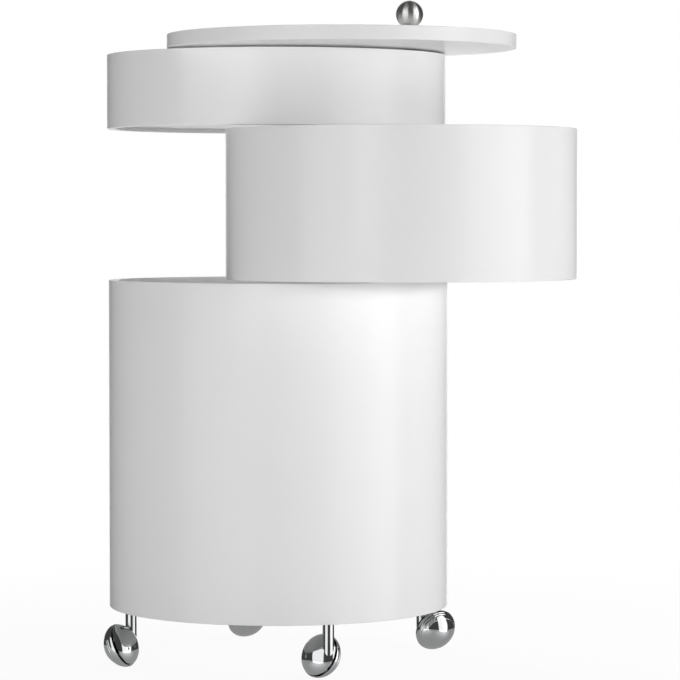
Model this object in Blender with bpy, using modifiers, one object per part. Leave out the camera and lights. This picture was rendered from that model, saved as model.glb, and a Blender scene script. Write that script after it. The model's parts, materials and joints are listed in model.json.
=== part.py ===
"""Serving trolley of round lacquered drums that swing about one steel post.

A deep base drum stands on four ball castors. A middle drum, a shallow upper
drum and a flat lid turn on one rod close to their walls, and a steel ball
closes the rod. The drums stand as swung open. Units are metres, +Z is up, and
the origin is on the floor below the base drum's axis.
"""
import math

import bmesh
import bpy
from mathutils import Matrix, Vector

for item in list(bpy.data.objects):
    bpy.data.objects.remove(item, do_unlink=True)

# Drums and lid
DRUM_RADIUS = 0.190
WALL = 0.009
EDGE_ROUND = 0.0008
FLOOR_THICKNESS = 0.012
BASE_RECESS = 0.007
DRUM_RECESS = 0.0047
RIDE_HEIGHT = 0.061
BASE_HEIGHT = 0.365
MIDDLE_HEIGHT = 0.162
UPPER_HEIGHT = 0.0825
LID_THICKNESS = 0.015
LID_ROUND = 0.002
LAYER_GAP = 0.0033
LID_GAP = 0.0018

# Post, seen from the base drum's axis, and how far each layer is swung open
POST_FROM_WALL = 0.02975
POST_BEARING = math.radians(11.7)
MIDDLE_TURN = math.radians(72.5)
UPPER_TURN = math.radians(-5.0)
LID_TURN = math.radians(46.7)
ROD_RADIUS = 0.006
TUBE_RADIUS = 0.010
FLANGE_RADIUS = 0.019
FLANGE_THICKNESS = 0.004
WASHER_RADIUS = 0.014
BUSH_FLANGE_RADIUS = 0.014
BUSH_FLANGE_THICKNESS = 0.0015
NUT_ACROSS_FLATS = 0.019
NUT_HEIGHT = 0.0055
ROD_TAIL = 0.0006
BALL_RADIUS = 0.0155
NECK_RADIUS = 0.009
NECK_HEIGHT = 0.0153
ROD_GRIP = 0.004

# Ball castors: a domed wheel on an inclined axle under a domed hood
CASTOR_FROM_WALL = 0.0088
CASTOR_TILT = math.radians(23.6)
CASTOR_TRAIL = 0.0155
CASTOR_LEAD = 0.0044
WHEEL_RADIUS = 0.0248
WHEEL_DOME = 0.0197
HOOD_RADIUS = 0.0244
HOOD_DOME = 0.0181
DOME_FULLNESS = 1.73
RIM_PLANE = 0.0028
RIM_GAP = 0.0026
RIM_WALL = 0.0032
WHEEL_HOLLOW = 0.0085
HUB_RADIUS = 0.007
GROOVE_FROM_RIM = 0.003
GROOVE_WIDTH = 0.0012
GROOVE_DEPTH = 0.0005
AXLE_RADIUS = 0.003
AXLE_IN_WHEEL = 0.011
AXLE_IN_HOOD = 0.009
BARREL_RADIUS = 0.0062
BARREL_SINK = 0.002
BARREL_INSET = 0.001
STEM_RADIUS = 0.0035
STEM_LENGTH = 0.018
STEM_COLLAR_THICKNESS = 0.0015
THREAD_RADIUS = 0.0042
INSERT_RADIUS = 0.006
INSERT_FLANGE_RADIUS = 0.0078
INSERT_FLANGE_THICKNESS = 0.0015
INSERT_BLIND = 0.0015

# Each castor's bearing from the base axis, and the way that its hood faces
CASTOR_BEARING = math.radians(18.0)
CASTOR_FACING = {
    "right": math.radians(121.0),
    "rear": math.radians(121.0),
    "left": math.radians(339.2),
    "front": math.radians(225.5),
}

# Clearances between pieces that touch, and between pieces that turn
CLEARANCE = 0.0003
RUNNING = 0.0004
OVERCUT = 0.005

# Edges below an angle are shaded smooth, and edges above another are rounded
SMOOTH_ANGLE = math.radians(40)
ROUNDED_ANGLE = math.radians(60)
MERGE_DISTANCE = 0.00001

# Facets around a drum, a castor dome, a shaft and a small castor fitting
DRUM_FACETS = 60
DOME_FACETS = 24
SHAFT_FACETS = 20
FITTING_FACETS = 14
NUT_SIDES = 6

# Steps along a wheel's dome, a hood's dome and the ball
WHEEL_STEPS = 7
HOOD_STEPS = 7
BALL_STEPS = 10

# Heights that follow from the sizes above
BASE_TOP = RIDE_HEIGHT + BASE_HEIGHT
MIDDLE_BOTTOM = BASE_TOP + LAYER_GAP
MIDDLE_TOP = MIDDLE_BOTTOM + MIDDLE_HEIGHT
UPPER_BOTTOM = MIDDLE_TOP + LAYER_GAP
UPPER_TOP = UPPER_BOTTOM + UPPER_HEIGHT
LID_BOTTOM = UPPER_TOP + LID_GAP
LID_TOP = LID_BOTTOM + LID_THICKNESS
BASE_UNDERSIDE = RIDE_HEIGHT + BASE_RECESS
BASE_FLOOR_TOP = BASE_UNDERSIDE + FLOOR_THICKNESS
COLLAR_TOP = BASE_UNDERSIDE - INSERT_FLANGE_THICKNESS - 2 * CLEARANCE
BARREL_TOP = COLLAR_TOP - STEM_COLLAR_THICKNESS - CLEARANCE
ROD_BOTTOM = BASE_UNDERSIDE - CLEARANCE - NUT_HEIGHT - ROD_TAIL
ROD_TOP = LID_TOP + NECK_HEIGHT + ROD_GRIP
BALL_CENTRE = LID_TOP + NECK_HEIGHT + BALL_RADIUS

# Places in plan that follow from the sizes above
INNER_RADIUS = DRUM_RADIUS - WALL
POST_OFFSET = INNER_RADIUS - POST_FROM_WALL
POST = POST_OFFSET * Vector((math.cos(POST_BEARING), math.sin(POST_BEARING), 0))
CASTOR_CIRCLE = INNER_RADIUS - CASTOR_FROM_WALL

# A dome's profile is a superellipse, so its reach downwards is a dual norm
DUAL_FULLNESS = DOME_FULLNESS / (DOME_FULLNESS - 1)
WHEEL_CENTRE_HEIGHT = (
    (WHEEL_RADIUS * math.cos(CASTOR_TILT)) ** DUAL_FULLNESS
    + (WHEEL_DOME * math.sin(CASTOR_TILT)) ** DUAL_FULLNESS
) ** (1 / DUAL_FULLNESS)
WHEEL_CENTRE = Vector((-CASTOR_LEAD, -CASTOR_TRAIL, WHEEL_CENTRE_HEIGHT))
AXLE_TILT = math.pi / 2 - CASTOR_TILT

# Finishes: colour, roughness and metallic value
LACQUER = ((0.86, 0.86, 0.86), 0.28, 0.0)
STEEL = ((0.56, 0.56, 0.55), 0.28, 1.0)
CHROME = ((0.66, 0.66, 0.67), 0.07, 1.0)
ZINC = ((0.50, 0.51, 0.52), 0.42, 1.0)
NYLON = ((0.72, 0.71, 0.68), 0.50, 0.0)

parts = bpy.data.collections.new("serving_trolley")
cutters = bpy.data.collections.new("cutters")
bpy.context.scene.collection.children.link(parts)
bpy.context.scene.collection.children.link(cutters)


def pivot(name, location, bearing=0.0, parent=None, tilt=0.0):
    """Add an empty that stands on a joint's axis."""
    empty = bpy.data.objects.new(name, None)
    parts.objects.link(empty)
    empty.parent = parent
    empty.location = location
    empty.rotation_euler = (0, tilt, bearing)
    empty.empty_display_size = DRUM_RADIUS / 4
    return empty


def place(node, mesh, finish, parent=None, location=(0, 0, 0)):
    """Add a piece with its own material, under its pivot."""
    colour, roughness, metallic = finish
    material = bpy.data.materials.new(node + "_finish")
    material.use_nodes = True
    shader = material.node_tree.nodes["Principled BSDF"]
    shader.inputs["Base Color"].default_value = (*colour, 1)
    shader.inputs["Roughness"].default_value = roughness
    shader.inputs["Metallic"].default_value = metallic
    mesh.materials.clear()
    mesh.materials.append(material)
    piece = bpy.data.objects.new(node, mesh)
    parts.objects.link(piece)
    piece.parent = parent
    piece.location = location
    return piece


def helper(name, mesh, parent=None, location=(0, 0, 0)):
    """Add a shape that only cuts or joins another piece."""
    shape = bpy.data.objects.new(name, mesh)
    cutters.objects.link(shape)
    shape.parent = parent
    shape.location = location
    shape.hide_render = True
    shape.display_type = "WIRE"
    return shape


def cylinder(name, radius, bottom, top, facets, capped=True):
    """Make a cylinder along Z between two heights."""
    shape = bmesh.new()
    bmesh.ops.create_cone(
        shape,
        cap_ends=capped,
        segments=facets,
        radius1=radius,
        radius2=radius,
        depth=top - bottom,
        matrix=Matrix.Translation((0, 0, (bottom + top) / 2)),
    )
    mesh = bpy.data.meshes.new(name)
    shape.to_mesh(mesh)
    shape.free()
    mesh.shade_smooth()
    mesh.set_sharp_from_angle(angle=SMOOTH_ANGLE)
    return mesh


def outline(name, points, closed):
    """Make a profile of edges in the XZ plane, for a Screw modifier."""
    count = len(points)
    edges = [(i, (i + 1) % count) for i in range(count if closed else count - 1)]
    mesh = bpy.data.meshes.new(name)
    mesh.from_pydata([(r, 0, z) for r, z in points], edges, [])
    return mesh


def turn(piece, facets):
    """Spin a profile about the piece's Z axis."""
    screw = piece.modifiers.new("turned", "SCREW")
    screw.axis = "Z"
    screw.steps = facets
    screw.render_steps = facets
    screw.use_merge_vertices = True
    screw.merge_threshold = MERGE_DISTANCE
    screw.use_smooth_shade = True
    return piece


def cut(piece, tool, operation="DIFFERENCE"):
    """Cut a helper out of a piece, or join it on."""
    boolean = piece.modifiers.new(tool.name, "BOOLEAN")
    boolean.object = tool
    boolean.operation = operation


def ring(inner, outer, bottom, top):
    """List a plain ring's profile, down its outer side first."""
    return [(outer, top), (outer, bottom), (inner, bottom), (inner, top)]


def settled(piece):
    """Take a piece's finished mesh, smooth but for its hard edges."""
    bpy.context.view_layer.update()
    graph = bpy.context.evaluated_depsgraph_get()
    mesh = bpy.data.meshes.new_from_object(piece.evaluated_get(graph))
    mesh.shade_smooth()
    mesh.set_sharp_from_angle(angle=SMOOTH_ANGLE)
    return mesh


def drum(name, bottom, height, recess, parent, axis):
    """Build a drum's bent wall and the floor panel set up inside it."""
    mesh = cylinder(name + "_shell", DRUM_RADIUS, bottom, bottom + height, DRUM_FACETS, False)
    shell = place(name + "_shell", mesh, LACQUER, parent, axis)
    wall = shell.modifiers.new("wall", "SOLIDIFY")
    wall.thickness = WALL
    wall.offset = -1
    wall.use_even_offset = True
    edge = shell.modifiers.new("edge", "BEVEL")
    edge.width = EDGE_ROUND
    edge.segments = 1
    edge.limit_method = "ANGLE"
    edge.angle_limit = ROUNDED_ANGLE
    underside = bottom + recess
    mesh = cylinder(
        name + "_floor", INNER_RADIUS - CLEARANCE, underside, underside + FLOOR_THICKNESS, DRUM_FACETS
    )
    return place(name + "_floor", mesh, LACQUER, parent, axis)


def drill(panel, name, radius, bottom, top, parent=None, location=(0, 0, 0)):
    """Drill a hole right through a panel."""
    mesh = cylinder(name, radius, bottom - OVERCUT, top + OVERCUT, SHAFT_FACETS)
    cut(panel, helper(name, mesh, parent, location))


def turned_piece(node, points, finish, parent, location=(0, 0, 0), facets=SHAFT_FACETS, closed=True):
    """Build a piece as a turned profile."""
    return turn(place(node, outline(node, points, closed), finish, parent, location), facets)


def swinging_drum(name, bottom, height, angle):
    """Build a drum that swings about the post on its own sleeve."""
    hinge = pivot(name + "_hinge", POST, angle)
    floor = drum(name, bottom, height, DRUM_RECESS, hinge, -POST)
    underside = bottom + DRUM_RECESS
    floor_top = underside + FLOOR_THICKNESS
    drill(floor, name + "_sleeve_hole", TUBE_RADIUS + CLEARANCE, underside, floor_top, hinge)
    seat = floor_top + CLEARANCE
    bore = ROD_RADIUS + RUNNING
    profile = [
        (TUBE_RADIUS, bottom + height),
        (TUBE_RADIUS, seat + FLANGE_THICKNESS),
        (FLANGE_RADIUS, seat + FLANGE_THICKNESS),
        (FLANGE_RADIUS, seat),
        (TUBE_RADIUS, seat),
        (TUBE_RADIUS, bottom),
        (bore, bottom),
        (bore, bottom + height),
    ]
    turned_piece(name + "_sleeve", profile, STEEL, hinge)


def thrust_washer(node, below, gap):
    """Build the plastic washer that one layer turns on, in the gap above another."""
    bottom = below + CLEARANCE
    top = below + gap - CLEARANCE
    turned_piece(node, ring(ROD_RADIUS + RUNNING, WASHER_RADIUS, bottom, top), NYLON, post)


def dome_radius(radius, height, depth):
    """Give a dome's radius at a distance from the plane of its rim."""
    return radius * (1 - (depth / height) ** DOME_FULLNESS) ** (1 / DOME_FULLNESS)


def dome_arc(radius, height, first, steps):
    """List points on a dome's profile, from a distance off its rim's plane to its pole."""
    start = math.asin((first / height) ** (DOME_FULLNESS / 2))
    points = []
    for i in range(steps):
        angle = start + (math.pi / 2 - start) * i / steps
        depth = height * math.sin(angle) ** (2 / DOME_FULLNESS)
        points.append((dome_radius(radius, height, depth), depth))
    return points + [(0, height)]


def wheel_mesh():
    """Make the wheel: a hollow bowl with a grooved rim and a bored hub, its axis on Z."""
    face = RIM_PLANE - RIM_GAP / 2
    bore = AXLE_RADIUS + RUNNING
    inside = WHEEL_RADIUS - RIM_WALL
    groove_end = GROOVE_FROM_RIM + GROOVE_WIDTH
    groove_middle = GROOVE_FROM_RIM + GROOVE_WIDTH / 2
    trough = dome_radius(WHEEL_RADIUS, WHEEL_DOME, groove_middle) - GROOVE_DEPTH
    profile = [
        (0, -AXLE_IN_WHEEL - CLEARANCE),
        (bore, -AXLE_IN_WHEEL - CLEARANCE),
        (bore, face),
        (HUB_RADIUS, face),
        (HUB_RADIUS, -WHEEL_HOLLOW),
        (inside, -WHEEL_HOLLOW / 4),
        (inside, face),
        (HOOD_RADIUS, face),
        (WHEEL_RADIUS, 0),
        (dome_radius(WHEEL_RADIUS, WHEEL_DOME, GROOVE_FROM_RIM), -GROOVE_FROM_RIM),
        (trough, -groove_middle),
    ]
    profile += [(r, -depth) for r, depth in dome_arc(WHEEL_RADIUS, WHEEL_DOME, groove_end, WHEEL_STEPS)]
    shape = helper("wheel_shape", outline("wheel_shape", profile, False))
    mesh = settled(turn(shape, DOME_FACETS))
    bpy.data.objects.remove(shape)
    return mesh


def hood_mesh(centre, tilt):
    """Make the hood with its swivel barrel, the castor's stem axis on Z."""
    face = RIM_PLANE + RIM_GAP / 2
    bore = AXLE_RADIUS + CLEARANCE
    skin = dome_arc(HOOD_RADIUS, HOOD_DOME, face, HOOD_STEPS)[::-1]
    profile = skin + [(bore, face), (bore, AXLE_IN_HOOD + CLEARANCE), (0, AXLE_IN_HOOD + CLEARANCE)]
    dome = turn(helper("hood_dome", outline("hood_dome", profile, False)), DOME_FACETS)
    dome.location = centre
    dome.rotation_euler = (0, tilt, 0)
    barrel_bottom = centre.z - BARREL_SINK
    shape = bmesh.new()
    shape.from_mesh(cylinder("barrel", BARREL_RADIUS, barrel_bottom, BARREL_TOP, SHAFT_FACETS))
    normal = Vector((math.sin(tilt), 0, math.cos(tilt)))
    clipped = bmesh.ops.bisect_plane(
        shape,
        geom=shape.verts[:] + shape.edges[:] + shape.faces[:],
        plane_co=centre + normal * (face + BARREL_INSET),
        plane_no=normal,
        clear_inner=True,
    )
    cut_edges = [e for e in clipped["geom_cut"] if isinstance(e, bmesh.types.BMEdge)]
    bmesh.ops.contextual_create(shape, geom=cut_edges)
    bmesh.ops.recalc_face_normals(shape, faces=shape.faces[:])
    barrel_shape = bpy.data.meshes.new("barrel")
    shape.to_mesh(barrel_shape)
    shape.free()
    barrel = helper("barrel", barrel_shape)
    bore_bottom = COLLAR_TOP - STEM_LENGTH - CLEARANCE
    stem_bore = helper(
        "stem_bore",
        cylinder("stem_bore", STEM_RADIUS + RUNNING, bore_bottom, BARREL_TOP + OVERCUT, FITTING_FACETS),
    )
    cut(dome, barrel, "UNION")
    cut(dome, stem_bore)
    mesh = settled(dome)
    mesh.transform(dome.matrix_world)
    for shape in (dome, barrel, stem_bore):
        bpy.data.objects.remove(shape)
    return mesh


def castor(name, bearing, facing, hood, wheel):
    """Build one castor, its fitting in the base floor and the hole for it."""
    spot = CASTOR_CIRCLE * Vector((math.cos(bearing), math.sin(bearing), 0))
    drill(base_floor, name + "_hole", INSERT_RADIUS + CLEARANCE, BASE_UNDERSIDE, BASE_FLOOR_TOP, None, spot)
    seat = BASE_UNDERSIDE - CLEARANCE
    thread_bore = THREAD_RADIUS + CLEARANCE
    thread_top = BASE_FLOOR_TOP - INSERT_BLIND
    insert = [
        (0, BASE_FLOOR_TOP),
        (INSERT_RADIUS, BASE_FLOOR_TOP),
        (INSERT_RADIUS, seat),
        (INSERT_FLANGE_RADIUS, seat),
        (INSERT_FLANGE_RADIUS, seat - INSERT_FLANGE_THICKNESS),
        (thread_bore, seat - INSERT_FLANGE_THICKNESS),
        (thread_bore, thread_top),
        (0, thread_top),
    ]
    turned_piece(name + "_insert", insert, ZINC, None, spot, FITTING_FACETS, False)
    stem = [
        (0, thread_top - CLEARANCE),
        (THREAD_RADIUS, thread_top - CLEARANCE),
        (THREAD_RADIUS, COLLAR_TOP),
        (BARREL_RADIUS, COLLAR_TOP),
        (BARREL_RADIUS, COLLAR_TOP - STEM_COLLAR_THICKNESS),
        (STEM_RADIUS, COLLAR_TOP - STEM_COLLAR_THICKNESS),
        (STEM_RADIUS, COLLAR_TOP - STEM_LENGTH),
        (0, COLLAR_TOP - STEM_LENGTH),
    ]
    turned_piece(name + "_stem", stem, ZINC, None, spot, FITTING_FACETS, False)
    swivel = pivot(name + "_swivel", spot, facing)
    roll = pivot(name + "_roll", WHEEL_CENTRE, 0, swivel, AXLE_TILT)
    place(name + "_hood", hood.copy(), CHROME, swivel)
    axle = cylinder(name + "_axle", AXLE_RADIUS, -AXLE_IN_WHEEL, AXLE_IN_HOOD, FITTING_FACETS)
    place(name + "_axle", axle, ZINC, roll)
    place(name + "_wheel", wheel.copy(), CHROME, roll)


# Base drum and its post
base_floor = drum("base", RIDE_HEIGHT, BASE_HEIGHT, BASE_RECESS, None, (0, 0, 0))
post = pivot("post", POST)
drill(base_floor, "rod_hole", ROD_RADIUS + CLEARANCE, BASE_UNDERSIDE, BASE_FLOOR_TOP, post)
place("post_rod", cylinder("post_rod", ROD_RADIUS, ROD_BOTTOM, ROD_TOP, SHAFT_FACETS), STEEL, post)
flange_seat = BASE_FLOOR_TOP + CLEARANCE
turned_piece(
    "post_flange",
    ring(TUBE_RADIUS + CLEARANCE, FLANGE_RADIUS, flange_seat, flange_seat + FLANGE_THICKNESS),
    STEEL,
    post,
)
turned_piece("post_tube", ring(ROD_RADIUS + CLEARANCE, TUBE_RADIUS, flange_seat, BASE_TOP), STEEL, post)
nut_top = BASE_UNDERSIDE - CLEARANCE
nut_radius = NUT_ACROSS_FLATS / 2 / math.cos(math.pi / NUT_SIDES)
nut_mesh = cylinder("post_nut", nut_radius, nut_top - NUT_HEIGHT, nut_top, NUT_SIDES)
nut = place("post_nut", nut_mesh, ZINC, post)
drill(nut, "nut_bore", ROD_RADIUS + CLEARANCE, nut_top - NUT_HEIGHT, nut_top, post)

# Drums that swing about the post, and the washers they turn on
thrust_washer("lower_washer", BASE_TOP, LAYER_GAP)
swinging_drum("middle", MIDDLE_BOTTOM, MIDDLE_HEIGHT, MIDDLE_TURN)
thrust_washer("middle_washer", MIDDLE_TOP, LAYER_GAP)
swinging_drum("upper", UPPER_BOTTOM, UPPER_HEIGHT, UPPER_TURN)
thrust_washer("upper_washer", UPPER_TOP, LID_GAP)

# Lid, a solid disc with a rounded rim, and its bush
lid_hinge = pivot("lid_hinge", POST, LID_TURN)
lid_mesh = cylinder("lid_disc", DRUM_RADIUS, LID_BOTTOM, LID_TOP, DRUM_FACETS)
lid = place("lid_disc", lid_mesh, LACQUER, lid_hinge, -POST)
rim = lid.modifiers.new("rim", "BEVEL")
rim.width = LID_ROUND
rim.segments = 2
rim.limit_method = "ANGLE"
rim.angle_limit = ROUNDED_ANGLE
drill(lid, "lid_bush_hole", TUBE_RADIUS + CLEARANCE, LID_BOTTOM, LID_TOP, lid_hinge)
bush_seat = LID_TOP + CLEARANCE
bush_top = bush_seat + BUSH_FLANGE_THICKNESS
lid_bush = [
    (BUSH_FLANGE_RADIUS, bush_top),
    (BUSH_FLANGE_RADIUS, bush_seat),
    (TUBE_RADIUS, bush_seat),
    (TUBE_RADIUS, LID_BOTTOM),
    (ROD_RADIUS + RUNNING, LID_BOTTOM),
    (ROD_RADIUS + RUNNING, bush_top),
]
turned_piece("lid_bush", lid_bush, STEEL, lid_hinge)

# Ball on a neck, screwed on the rod's top end
neck_angle = math.pi - math.asin(NECK_RADIUS / BALL_RADIUS)
ball = [(
    BALL_RADIUS * math.sin(neck_angle * i / BALL_STEPS),
    BALL_CENTRE + BALL_RADIUS * math.cos(neck_angle * i / BALL_STEPS),
) for i in range(BALL_STEPS + 1)]
neck = [
    (NECK_RADIUS, bush_top + CLEARANCE),
    (ROD_RADIUS + CLEARANCE, bush_top + CLEARANCE),
    (ROD_RADIUS + CLEARANCE, ROD_TOP + CLEARANCE),
    (0, ROD_TOP + CLEARANCE),
]
turned_piece("ball_finial", ball + neck, STEEL, post, closed=False)

# Four castors of one hand, a quarter turn apart
hood = hood_mesh(WHEEL_CENTRE, AXLE_TILT)
wheel = wheel_mesh()
for quarter, (side, facing) in enumerate(CASTOR_FACING.items()):
    castor("castor_" + side, CASTOR_BEARING + quarter * math.pi / 2, facing, hood, wheel)
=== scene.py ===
"""Serving trolley: the looks of its lacquered drums, steel post and ball castors.

It is laid out as a Blender add-on and run as a script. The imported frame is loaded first,
each operator then models one kind of piece around it, and the last one sets the studio.
Units are metres, +Z is up, and the origin is on the floor under the base drum's axis.
"""

import json
import math

import bpy
from bpy.props import FloatProperty, FloatVectorProperty, IntProperty, PointerProperty
from mathutils import Matrix, Vector


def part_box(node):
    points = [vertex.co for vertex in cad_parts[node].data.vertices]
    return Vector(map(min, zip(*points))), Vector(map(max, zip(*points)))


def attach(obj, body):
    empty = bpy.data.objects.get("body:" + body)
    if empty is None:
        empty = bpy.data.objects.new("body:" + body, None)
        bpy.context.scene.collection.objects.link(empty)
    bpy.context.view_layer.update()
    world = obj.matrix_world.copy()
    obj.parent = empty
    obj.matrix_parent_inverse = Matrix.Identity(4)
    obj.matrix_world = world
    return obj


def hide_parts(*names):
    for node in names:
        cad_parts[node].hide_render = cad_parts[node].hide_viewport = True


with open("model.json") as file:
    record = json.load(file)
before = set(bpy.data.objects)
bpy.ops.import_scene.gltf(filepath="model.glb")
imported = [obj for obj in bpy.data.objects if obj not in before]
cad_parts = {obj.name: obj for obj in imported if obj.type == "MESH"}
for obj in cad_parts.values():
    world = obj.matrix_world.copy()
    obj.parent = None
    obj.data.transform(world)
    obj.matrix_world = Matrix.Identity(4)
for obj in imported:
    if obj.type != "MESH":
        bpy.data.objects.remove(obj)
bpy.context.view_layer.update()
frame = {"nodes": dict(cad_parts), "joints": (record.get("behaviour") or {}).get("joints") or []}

bl_info = {
    "name": "Serving trolley",
    "version": (1, 0, 0),
    "blender": (4, 5, 0),
    "location": "3D View > Sidebar > Trolley",
    "description": "Models the finished pieces of a round serving trolley on its packed frame",
    "category": "Object",
}

# Bodies of the frame that carry the drums, and the four castors' sides
DRUM_BODIES = {"base": "base", "middle": "middle_drum", "upper": "upper_drum"}
SIDES = ("right", "rear", "left", "front")

# Modelling: points closer than MERGE are one, a cutting tool stands out by OVERCUT, edges that
# turn by more than ROUND_ABOVE are rounded, and edges that turn by less than SMOOTH_BELOW are
# shaded as one surface
MERGE = 1e-6
OVERCUT = 0.002
ROUND_ABOVE = math.radians(40)
SMOOTH_BELOW = math.radians(32)

# Steps across a rounded edge: most edges, and those that the eye sees more or less of
EDGE_STEPS = 3
WALL_EDGE_STEPS = 4
LID_EDGE_STEPS = 6
WHEEL_EDGE_STEPS = 2

# A hexagon's sides, and half of the angle that one of them takes up
HEXAGON = 6
HALF_SIDE = math.pi / HEXAGON

# Rings of a domed screw head: shares of its radius and of its rise above the flange
SCREW_RINGS = ((1, -0.25), (1, 0.4), (0.82, 0.8), (0.5, 1))

# The wheel: its grooves, the steps of the tread before each of them and after the last one, and
# how deep its hollow is at the rim, as a share of its depth at the hub
GROOVES = 2
LAND_STEPS = 3
TREAD_STEPS = 5
HOLLOW_AT_RIM = 0.25

# Sizes of the finishes' patterns are given in millimetres
MILLIMETRE = 0.001


def joint(name):
    """Find one of the frame's joints by its name."""
    return next(j for j in frame["joints"] if j["name"] == name)


def width_of(node):
    """Measure a CAD node along X."""
    low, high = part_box(node)
    return high.x - low.x


def height_of(node):
    """Measure a CAD node along Z."""
    low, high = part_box(node)
    return high.z - low.z


def axis_of(node):
    """Give the point on the floor under a round CAD node's axis."""
    low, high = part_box(node)
    return Vector(((low.x + high.x) / 2, (low.y + high.y) / 2, 0))


def linear(hex_colour):
    """Turn an sRGB hex colour into the linear values that shaders take."""
    channels = [int(hex_colour[i:i + 2], 16) / 255 for i in (0, 2, 4)]
    return [c / 12.92 if c <= 0.04045 else ((c + 0.055) / 1.055) ** 2.4 for c in channels]


POST = Vector(joint("lid_swing")["pos_m"])


# Sizes and colours that a user would change

def length(name, description, default):
    """Declare a length in metres."""
    return FloatProperty(
        name=name,
        description=description,
        default=default,
        min=0,
        precision=5,
        unit="LENGTH",
        subtype="DISTANCE",
    )


def colour(name, description, hex_colour):
    """Declare a colour by its sRGB hex value."""
    return FloatVectorProperty(
        name=name, description=description, default=linear(hex_colour), min=0, max=1, subtype="COLOR"
    )


def angle(name, description, degrees):
    """Declare an angle by its degrees."""
    return FloatProperty(
        name=name,
        description=description,
        default=math.radians(degrees),
        precision=3,
        unit="ROTATION",
        subtype="ANGLE",
    )


def strength(name, description, default):
    """Declare a brightness, where 1 is white, or a share of one."""
    return FloatProperty(name=name, description=description, default=default, min=0, subtype="FACTOR")


def power(name, description, default):
    """Declare a lamp's power in watts."""
    return FloatProperty(
        name=name, description=description, default=default, min=0, unit="POWER", subtype="POWER"
    )


def count(name, description, default):
    """Declare a number of facets or copies."""
    return IntProperty(name=name, description=description, default=default, min=3)


class DrumSizes(bpy.types.PropertyGroup):
    """Sizes of the drums and the lid."""

    radius: length("Radius", "Outside radius of a drum and of the lid", width_of("base_shell") / 2)
    wall: length("Wall", "Thickness of a drum's bent wall", 0.009)
    edge_round: length("Edge rounding", "Rounding of a drum's upper and lower edge", 0.0008)
    panel_gap: length("Panel gap", "Gap between a floor panel and the wall round it", 0.0003)
    panel_round: length("Panel rounding", "Rounding of a floor panel's edge", 0.0008)
    lid_round: length("Lid rounding", "Rounding of the lid's rim", 0.001)
    facets: count("Facets", "Facets round a drum", 240)


class PostSizes(bpy.types.PropertyGroup):
    """Sizes of the post, its sleeves and the ball on top."""

    rod_radius: length("Rod radius", "Radius of the rod that all layers turn on", width_of("post_rod") / 2)
    tube_radius: length(
        "Tube radius", "Outside radius of the tube and sleeves round the rod", width_of("post_tube") / 2
    )
    flange_thickness: length("Flange thickness", "Thickness of a floor flange", height_of("post_flange"))
    flange_radius: length("Flange radius", "Radius of a floor flange", width_of("post_flange") / 2)
    running: length("Running gap", "Gap between the rod and what turns on it", 0.0004)
    edge_round: length("Edge rounding", "Rounding of turned edges", 0.0004)
    washer_round: length("Washer rounding", "Rounding of a plastic washer's edges", 0.0007)
    nut_chamfer: length("Nut chamfer", "How far the nut's corners are turned down", 0.0009)
    ball_radius: length("Ball radius", "Radius of the ball on top", width_of("ball_finial") / 2)
    neck_radius: length("Neck radius", "Radius of the neck below the ball", 0.009)
    screw_circle: length("Screw circle", "Distance of flange screws from the post's axis", 0.0146)
    screw_head: length("Screw head", "Radius of a flange screw's head", 0.0029)
    screw_rise: length("Screw rise", "How far a screw's head stands above its flange", 0.0011)
    screw_socket: length("Screw socket", "Size across the flats of a screw's hexagon socket", 0.0022)
    screws: count("Screws", "Screws in each flange", 3)
    facets: count("Facets", "Facets round the post's pieces", 72)


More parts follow.
